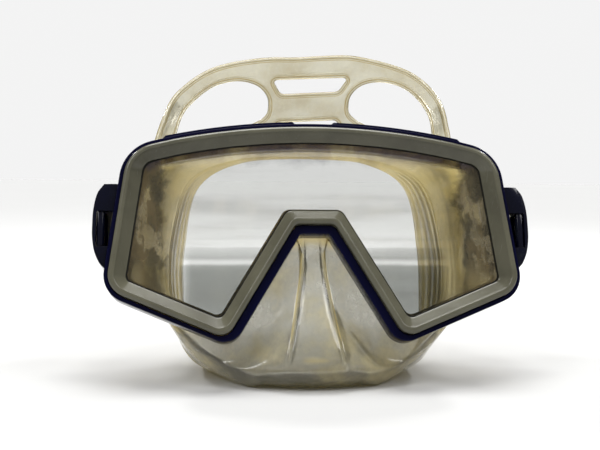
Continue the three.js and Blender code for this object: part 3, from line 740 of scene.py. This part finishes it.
def skirt():
    """The skirt's outer and inner surfaces, with the rounded edge that seals on the face between them.
    """
    along, loops = skirt_loops()
    along = along[:, None]
    relief, nose = nose_relief(loops)
    loops[..., 1] -= relief * (along > 0.6)
    lift, fold = fold_lift(along)
    wave = [[0.35 * noise.noise(Vector(p) * 0.06) for p in row] for row in loops]
    normal = loop_normals(loops)
    loops = loops + normal * (lift + np.array(wave))[:, :, None]
    taper = np.linspace(1, 0.62, len(loops))[:, None, None]
    inner = loops - normal * SKIRT_WALL * taper
    rim = (loops[-1] + inner[-1]) / 2 + np.gradient(loops, axis=0)[-1] * SEAL_REACH
    marks = [np.vstack([m, m[-1:], m[::-1]]) for m in skirt_marks(loops, along, fold, nose)]
    loops = rest_on_floor(np.vstack([loops, rim[None], inner[::-1]]))
    obj = piece("skirt_shell", *ring_through(loops), SKIRT, sharp=60,
                marks={"age": marks[0], "milk": marks[1]})
    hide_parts("skirt")
    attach(obj, "mask")
    skirt_flange()


def skirt_flange():
    """The skirt's lip between the lens and the frame."""
    corners = [(-0.5, 6.0), (-0.5, 8.3), (-3.15, 8.3), (-3.15, 12.2), (-5.4, 12.2), (-8.2, 8.6),
               (-8.2, 6.0)]
    points, faces = ring_mesh(rounded(corners, [0.2, 0.2, 0, 0.3, 0.6, 0.8, 0.5], 3))
    marks = {"age": np.full(len(points), 0.92), "milk": np.full(len(points), 0.45)}
    obj = piece("skirt_flange", points, faces, SKIRT, marks=marks)
    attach(obj, "mask")


# ---- Buckles ----
def buckle_shell():
    """The right buckle: a nose beside the frame, an arm behind it, and the strap's slot."""
    rim = catmull([(86.6, 17.4), (89.3, 13.4), (90.7, 7), (91, 0), (90.9, -5), (90, -10.5), (88, -15.2),
                   (86, -17.4)], 5)
    beside = 1.7 + 0.4  # the frame's wall, and the clearance to it
    seat = [(SIDE["x"] + SIDE["slope"] * z + beside, z) for z in (-17.5, 17.5)]
    front = np.vstack([seat, [(84, 17.5)], rim])
    rear = np.vstack([[(79, -17.45), (79, 17.45), (84, 17.45)], rim * (0.9995, 0.998)])
    body = piece("buckle_shell_right", *prism_mesh(front, "y", 3, 13.5), BUCKLE)
    back = piece("rear", *prism_mesh(rear, "y", 13, 33), BUCKLE)
    drum = prism_mesh(circle(AXIS_Y, 0, 18.5, 72), "x", 70, 100)
    cut(back, piece("drum", *drum, BUCKLE), "INTERSECT")
    cut(body, back, "UNION")
    strap_slot = box_mesh(80.4, 89.6, 12, 60, -9, 9)
    lever_window = box_mesh(82, 89.6, -1, 13, -8.6, 6.2)
    spring_pocket = box_mesh(82, 89.6, 6, 13, 6, 9)
    axle_bore = prism_mesh(circle(ROLLER_X, AXIS_Y, 1.3), "z", -13.3, 13.3)
    hinge_bore = prism_mesh(circle(LEVER["x"], LEVER["y"], 1.1), "z", -12.3, 12.3)
    for cutter in (strap_slot, lever_window, spring_pocket, axle_bore, hinge_bore):
        cut(body, piece("cutter", *cutter, BUCKLE))
    bevel(body, 0.5, 3)
    return body


def mirrored_copy(obj, name):
    """The same piece on the other side of the mask."""
    mesh = obj.data.copy()
    mesh.transform(TO_ROW @ Matrix.Diagonal((-1, 1, 1, 1)) @ TO_ROW.inverted())
    mesh.flip_normals()
    return linked(name, mesh)


def buckles():
    right = buckle_shell()
    for side, body in (("right", right), ("left", mirrored_copy(right, "buckle_shell_left"))):
        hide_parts("buckle_body_" + side)
        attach(body, "mask")


def roller(side):
    """The tube that the strap runs over, with fine ridges round it."""
    bore, shoulder, radius, half, groove = 1.3, 1.85, 2.0, 8.4, 0.12
    ridged = [(radius - groove * (k % 2), z) for k, z in enumerate(np.linspace(-8.0, 8.0, 33))]
    profile = [(bore, -half), (shoulder, -half)] + ridged + [(shoulder, half), (bore, half)]
    mesh = on_side(side, turned(profile, (ROLLER_X, AXIS_Y)))
    obj = piece("roller_" + side, *mesh, BUCKLE)
    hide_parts("strap_roller_" + side)
    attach(obj, "roller_" + side)


def lever(side):
    """The lever that locks the strap: a thumb pad in front of its pin and a toe behind it."""
    x, y = LEVER["x"], LEVER["y"]
    flat = [(x - 0.8, y - 1.9), (x - 0.8, 4.4), (x - 0.1, 3.6), (x + 1.8, 3.6), (x + 2.3, 4.2),
            (x + 1.8, y), (x + 0.9, y + 1.7), (x + 0.6, 13.3), (x - 0.2, 13.9), (x - 1, 13.3),
            (x - 1.2, y + 1.2), (x - 1.9, y)]
    outlined = rounded(flat, [0.3, 0.3, 0.3, 0.4, 0.4, 0.3, 0.5, 0.2, 0.3, 0.2, 0.5, 0.9], 3)
    obj = piece("lever_" + side, *on_side(side, prism_mesh(outlined, "z", -8.2, 5.8)), BUCKLE)
    hole = prism_mesh(circle(x, y, 1.1), "z", -9, 9)
    cut(obj, piece("cutter", *on_side(side, hole), BUCKLE))
    bevel(obj, 0.2, 2)
    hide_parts("lock_lever_" + side)
    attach(obj, "lever_" + side)


def spring(side):
    """The lever's return spring: four turns round its pin, and one straight leg."""
    x, y = LEVER["x"], LEVER["y"]
    radius, wire, base, height = 1.5, 0.22, 6.4, 1.7
    turns = np.linspace(0, 4 * 2 * math.pi, 120)
    coil = np.column_stack([x + radius * np.cos(turns), y + radius * np.sin(turns),
                            base + height * turns / turns[-1]])
    leg = np.array([(x + radius, y + t, base + height) for t in np.linspace(0.4, 3.4, 8)])
    mesh = on_side(side, tube_mesh(np.vstack([coil, leg]), wire, 8))
    obj = piece("lever_spring_wire_" + side, *mesh, STEEL, sharp=60)
    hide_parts("lever_spring_" + side)
    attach(obj, "mask")


def pins(side):
    """The roller's axle and the lever's pin, with chamfered ends."""
    core, chamfer = 0.001, 0.2
    for name, node, x, y, r, half in (("axle_pin_", "roller_axle_", ROLLER_X, AXIS_Y, 1.0, 13),
                                      ("hinge_pin_", "lever_pin_", LEVER["x"], LEVER["y"], 0.8, 12)):
        profile = [(core, -half), (r - chamfer, -half), (r, chamfer - half), (r, half - chamfer),
                   (r - chamfer, half), (core, half)]
        obj = piece(name + side, *on_side(side, turned(profile, (x, y), 24)), STEEL)
        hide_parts(node + side)
        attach(obj, "mask")


# ---- Strap ----
# [x, distance from the swing axis, rise of the strap in degrees]
STRAP_LINE = [(0, 103, 50), (26, 102.5, 50), (44, 97.5, 50), (53, 83, 50), (57, 67, 49),
              (64, 49, 38), (75, 32, 17), (81.7, 18, 0), (81.7, 12, 0)]
# [distance along the strap from its middle, direction across its right half there]
STRAP_ACROSS = [(0, (0, 0.795, -0.607)), (40, (-0.08, 0.79, -0.61)), (78, (-0.56, 0.64, -0.52)),
                (96, (-0.4, 0.55, -0.73)), (126, (0, 0, -1)), (170, (0, 0, -1))]
# [distance along, half the strap's width there]
STRAP_WIDTH = [(0, 30), (18, 29.6), (45, 26), (60, 23), (75, 19.5), (95, 14.5), (112, 9.5), (125, 8),
               (160, 8)]
# The right hole's and the lower slot's outlines: [distance along, distance across]
HOLE = [(20.5, 0), (21.5, -7), (26.5, -13), (35, -16), (46, -15.8), (60, -13), (74, -9.5), (86, -5.5),
        (95, -2.5), (97, 0), (93, 2.5), (84, 4.5), (74, 6.2), (60, 9), (46, 11.8), (36, 12), (28, 10),
        (22, 5.5)]
SLOT = [(-19, 17), (-14.5, 8.5), (14.5, 8.5), (19, 17)]
# The strap's rolled rim: [distance from the edge, half the thickness there, how yellow it is]
RIM = [(0.0, 0.0, 0.6), (0.12, 0.55, 0.45), (0.4, 1.0, 0.05), (0.85, 1.2, 0.9), (1.3, 1.1, 0.05),
       (1.9, 0.95, 1.15), (2.2, 0.9, 0.3), (2.6, 0.9, 0.0)]
ASIDE = 6.0  # how far the strap's loose pad hangs to one side
SAGS = ((0.8, -10, 14), (-1.2, 22, 20))  # [how far the pad sags, x of its middle, half its width]


def strap_line():
    half = np.array([(x, AXIS_Y + d * math.cos(math.radians(r)), d * math.sin(math.radians(r)))
                     for x, d, r in STRAP_LINE])
    whole = np.vstack([half[1:][::-1] * (-1, 1, 1), half])
    return catmull(whole, 24)


LINE = strap_line()
LENGTHS = np.concatenate([[0], np.cumsum(np.linalg.norm(np.diff(LINE, axis=0), axis=1))])
HALF_LENGTH = LENGTHS[-1] / 2


def strap_frame(along):
    """The strap's middle at a distance along it, the way out of its face, and the way across."""
    s = min(max(along + HALF_LENGTH, 0), LENGTHS[-1])
    centre, ahead, behind = (np.array([np.interp(at, LENGTHS, LINE[:, k]) for k in range(3)])
                             for at in (s, min(s + 1.5, LENGTHS[-1]), max(s - 1.5, 0)))
    tangent = (ahead - behind) / np.linalg.norm(ahead - behind)
    far = abs(along)
    i = max(1, next(k for k, (key, _) in enumerate(STRAP_ACROSS) if key >= far))
    (start, before), (end, after) = STRAP_ACROSS[i - 1:i + 1]
    width = np.array(before) + (np.array(after) - before) * smooth((far - start) / (end - start))
    width[0] *= np.sign(along)
    width -= tangent * (width @ tangent)
    width /= np.linalg.norm(width)
    return centre, np.cross(tangent, width), width


def strap_point(along, across, out):
    """A point of the strap. Its pad hangs a little to one side, and sags unevenly."""
    centre, normal, width = strap_frame(along)
    point = centre + width * across + normal * out
    loose = smooth((100 - abs(along)) / 60)
    sag = sum(deep * math.exp(-((point[0] - x) / wide) ** 2) for deep, x, wide in SAGS)
    return point + (ASIDE * loose, 0, -sag * loose)


def half_width(along):
    keys, values = zip(*STRAP_WIDTH)
    return float(np.interp(abs(along), keys, values))


def closed_curve(points, samples):
    """A smooth closed curve through the points."""
    points = np.array(points, float)
    count = len(points)
    wide = catmull(np.vstack([points[-2:], points, points[:2]]), samples)
    return wide[2 * samples:(2 + count) * samples]


def strap_outlines():
    """The flat strap: its outer edge and its openings, as (along, across) points."""
    reach = np.linspace(-HALF_LENGTH + 6, HALF_LENGTH - 6, 160)
    outer = [(s, half_width(s)) for s in reach] + [(s, -half_width(s)) for s in reach[::-1]]
    hole = closed_curve(HOLE, 6)
    slot = rounded(SLOT, [1.8, 3, 3, 1.8], 8)
    return np.array(outer), [hole, hole * (-1, 1), slot, slot * (1, -1)]


def offset_loop(loop, distance, sign):
    """A closed flat outline moved sideways, less so at the strap's two ends."""
    after = np.roll(loop, -1, axis=0)
    step = unit(after - np.roll(loop, 1, axis=0))
    turn = np.sign(np.sum(loop[:, 0] * after[:, 1] - loop[:, 1] * after[:, 0]))
    end = np.clip((HALF_LENGTH - 7 - np.abs(loop[:, 0])) / 8, 0.05, 1)
    outward = np.column_stack([step[:, 1], -step[:, 0]]) * turn
    return loop + outward * (end * distance * sign)[:, None]


def flat_sheet(outer, holes, longest=4.4):
    """Triangles that fill the flat strap between its edge and its openings."""
    bm = bmesh.new()
    for loop in [outer] + holes:
        verts = [bm.verts.new((p[0], p[1], 0)) for p in loop]
        for k in range(len(verts)):
            bm.edges.new((verts[k], verts[(k + 1) % len(verts)]))
    bmesh.ops.triangle_fill(bm, use_beauty=True, edges=bm.edges[:])
    for _ in range(4):
        long_edges = [e for e in bm.edges if e.calc_length() > longest and not e.is_boundary]
        if not long_edges:
            break
        bmesh.ops.subdivide_edges(bm, edges=long_edges, cuts=1)
        bmesh.ops.triangulate(bm, faces=bm.faces[:])
        inside = [e for e in bm.edges if not e.is_boundary]
        bmesh.ops.beautify_fill(bm, faces=bm.faces[:], edges=inside)
    flat = bpy.data.meshes.new("flat")
    bm.to_mesh(flat)
    bm.free()
    points = np.array([v.co[:] for v in flat.vertices])
    faces = [tuple(p.vertices) for p in flat.polygons]
    bpy.data.meshes.remove(flat)
    return points, faces


def strap_sheet():
    """The strap as one closed mesh: a flat web, with a rolled rim round its edge and openings.
    Gives its points, its faces, and how yellow each point is."""
    outer, holes = strap_outlines()
    loops = [(outer, -1)] + [(hole, 1) for hole in holes]
    deep, half, _ = RIM[-1]
    inset = [offset_loop(loop, deep, sign) for loop, sign in loops]
    flat, faces = flat_sheet(inset[0], inset[1:])
    count = len(flat)
    points = [strap_point(a, b, half) for a, b, _ in flat]
    points += [strap_point(a, b, -half) for a, b, _ in flat]
    age = [0.0] * len(points)
    every = list(faces) + [tuple(i + count for i in f)[::-1] for f in faces]
    start = 0
    for loop, sign in loops:
        size = len(loop)
        rings = [list(range(start, start + size))]
        for level in (1, -1):
            rows = RIM[-2:0:-1] if level > 0 else RIM[:-1]
            for distance, height, yellow in rows:
                rings.append(list(range(len(points), len(points) + size)))
                ring = offset_loop(loop, distance, sign)
                points += [strap_point(a, b, level * height) for a, b in ring]
                age += [yellow] * size
        rings.append([i + count for i in rings[0]])
        for here, there in zip(rings, rings[1:]):
            for k in range(size):
                m = (k + 1) % size
                every.append((here[k], here[m], there[m], there[k]))
        start += size
    return np.array(points), every, np.array(age)


def wrap_mesh(side):
    """The strap's end: in past the roller, round its front, and back along the outside."""
    reach = 3.3  # from the roller's axis to the middle of the strap's thickness
    half_thick, half_wide = 0.95, 8
    path = [(ROLLER_X - reach, y) for y in np.linspace(AXIS_Y + 14, AXIS_Y + 1, 8)]
    path += [(ROLLER_X + reach * math.cos(t), AXIS_Y + reach * math.sin(t))
             for t in np.linspace(math.pi, 2 * math.pi, 25)]
    path += [(ROLLER_X + reach, y) for y in np.linspace(AXIS_Y + 1, AXIS_Y + 18, 12)]
    path = np.array([(SIGN[side] * x, y) for x, y in path])
    step = unit(np.gradient(path, axis=0))
    outward = half_thick * np.column_stack([step[:, 1], -step[:, 0]])
    across = np.linspace(-half_wide, half_wide, 9)
    return lofted([[(*(p + m), z) for z in across] + [(*(p - m), z) for z in across[::-1]]
                   for p, m in zip(path, outward)])


def tail_mesh(side):
    """The strap's free end: it comes down onto the strap, and has fine ribs and a narrower tip."""
    flat_lift, roller_lift, thick, rib = 2.3, 6.6, 0.9, 0.28
    loops = []
    for k, along in enumerate(np.linspace(HALF_LENGTH - 8, HALF_LENGTH - 44, 30)):
        near_roller = smooth((along - (HALF_LENGTH - 32)) / 25)
        lift = flat_lift + (roller_lift - flat_lift) * near_roller
        half = min(half_width(along) - 1.0, 7.6) * (1 - 0.45 * smooth((k - 25) / 4))
        across = np.linspace(-half, half, 9)
        loops.append([strap_point(SIGN[side] * along, q, lift + rib * (k % 2)) for q in across]
                     + [strap_point(SIGN[side] * along, q, lift - thick) for q in across[::-1]])
    return lofted(loops)


def strap():
    """The strap and its two free ends in one mesh, and the stretch round each roller."""
    points, faces, age = strap_sheet()
    tails = joined(tail_mesh("right"), tail_mesh("left"))
    marks = {"age": np.concatenate([age, np.full(len(tails[0]), 0.2)])}
    obj = piece("head_strap", *joined((points, faces), tails), STRAP, sharp=60, marks=marks)
    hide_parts("strap_rear")
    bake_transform(obj)
    for side in ("left", "right"):
        wrap = piece("strap_wrap_" + side, *wrap_mesh(side), STRAP, sharp=60)
        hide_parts("strap_end_" + side)
        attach(wrap, "mask")


def keeper(side):
    """The loop round the strap that holds its free end down."""
    along = SIGN[side] * (HALF_LENGTH - 30)
    half = half_width(along) + 1.7
    low, high = -2.3, 5.2
    ring = rounded([(-half, low), (half, low), (half, high), (-half, high)], [1.2] * 4, 5)
    section = rounded([(0.0, -2.5), (1.3, -2.5), (1.3, 2.5), (0.0, 2.5)], [0.2, 0.5, 0.5, 0.2], 3)
    centre = ring.mean(0)
    loops = []
    for out, level in section:
        at = along + level * SIGN[side]
        scale = 1 + out / np.array([half, (high - low) / 2])
        loops.append([strap_point(at, *(centre + (p - centre) * scale)) for p in ring])
    obj = piece("keeper_" + side, *ring_through(loops), NAVY, sharp=50)
    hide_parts("strap_keeper_" + side)
    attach(obj, "strap")


# ---- Stage ----
def camera():
    """Looks at the mask from a little to its left and a little below the lens normal."""
    aside, below, roll, distance = 5.7, 12.0, 0.88, 440
    data = bpy.data.cameras.new("camera")
    data.sensor_width = 36.0
    data.lens = 63.9
    data.shift_x = -0.025
    data.clip_start = 0.01
    obj = linked("camera", data)
    spin = TURN
    for degrees, axis in ((-aside, "Z"), (90 + below, "X"), (-roll, "Z")):
        spin = spin @ Matrix.Rotation(math.radians(degrees), 4, axis)
    obj.matrix_world = Matrix.Translation(ORIGIN) @ spin @ Matrix.Translation((0, 0, distance * MM))
    bpy.context.scene.camera = obj


def light(name, kind, power, **settings):
    data = bpy.data.lights.new(name, kind)
    data.energy = power
    for key, value in settings.items():
        setattr(data, key, value)
    return linked(name, data)


def soft_sun(name, strength, lean, aside, width):
    """Wide soft light from above, leant towards the camera and turned aside, in degrees."""
    sun = light(name, "SUN", strength, angle=math.radians(width))
    sun.rotation_euler = (math.radians(lean), 0, math.radians(aside))


def corner_light(side):
    """A small light above and behind the mask, aimed at its middle."""
    place, target = Vector((SIGN[side] * 0.55, 0.42, 0.62)), Vector((0, 0, 0.07))
    lamp = light("corner_" + side, "AREA", 3.2, shape="RECTANGLE", size=0.12, size_y=0.08)
    lamp.location = place
    lamp.rotation_euler = (target - place).to_track_quat("-Z", "Y").to_euler()


def stage():
    """The pale floor, the soft lights, and a backdrop that looks like white paper."""
    reach = 3
    corners = [(-reach, -reach, 0), (reach, -reach, 0), (reach, reach, 0), (-reach, reach, 0)]
    floor = piece("floor", corners, [(0, 1, 2, 3)], floor_material(), to_row=False)
    soft_sun("overhead", 3.3, 0, 0, 40)
    soft_sun("front_right", 1.4, 45, 50, 26)
    soft_sun("front_left", 1.6, 45, -50, 26)
    for side in SIGN:
        corner_light(side)
    n = Nodes("studio", bpy.data.worlds)
    soft = n.add("Background", {"Color": WHITE, "Strength": 0.2})
    paper = n.add("Background", {"Color": WHITE, "Strength": 0.90})
    backdrop = n.layers(n.add("LightPath").outputs["Is Camera Ray"], soft, paper)
    scene = bpy.context.scene
    scene.world = n.finish(backdrop, "OutputWorld")
    scene.view_settings.view_transform = "Standard"
    scene.cycles.transparent_max_bounces = 32


bezel_ring()
lens()
main_frame()
skirt()
buckles()
for side in ("left", "right"):
    roller(side)
    lever(side)
    spring(side)
    pins(side)
    keeper(side)
strap()
camera()
stage()
